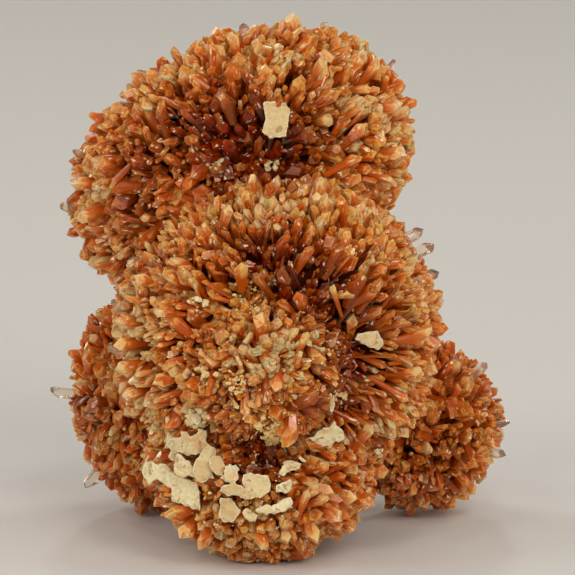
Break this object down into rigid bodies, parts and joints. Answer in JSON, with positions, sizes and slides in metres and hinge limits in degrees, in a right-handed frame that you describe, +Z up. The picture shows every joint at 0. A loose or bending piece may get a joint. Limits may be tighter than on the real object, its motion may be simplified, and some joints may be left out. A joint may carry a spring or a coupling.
{
  "type": "creedite crystal cluster",
  "caption": "Grown-together balls of radiating orange creedite crystals with pale matrix flakes, resting on a small flat spot.",
  "frame": {"origin": "on the resting plane, under the middle of the whole cluster", "axes": "+Z up, the finest side with the crater faces -Y, +X to the right of someone who looks at that side"},
  "size_m": [0.056, 0.0498, 0.063],
  "materials": {
    "orange_crystal": "glassy",
    "pale_matrix": "matte"
  },
  "bodies": {
    "root": {"crystal_cluster": "orange_crystal", "matrix_flake_left_band": "pale_matrix", "matrix_flake_left_shelf": "pale_matrix", "matrix_flake_left_pair": "pale_matrix", "matrix_flake_ledge_left": "pale_matrix", "matrix_flake_ledge_rough": "pale_matrix", "matrix_flake_ledge_middle": "pale_matrix", "matrix_flake_ledge_right": "pale_matrix", "matrix_flake_ledge_strip": "pale_matrix", "matrix_flake_low_diamond": "pale_matrix", "matrix_flake_low_chip": "pale_matrix", "matrix_flake_low_right": "pale_matrix", "matrix_flake_dome_right": "pale_matrix", "matrix_flake_top_hollow": "pale_matrix", "matrix_flake_trench_right": "pale_matrix"}
  },
  "joints": []
}
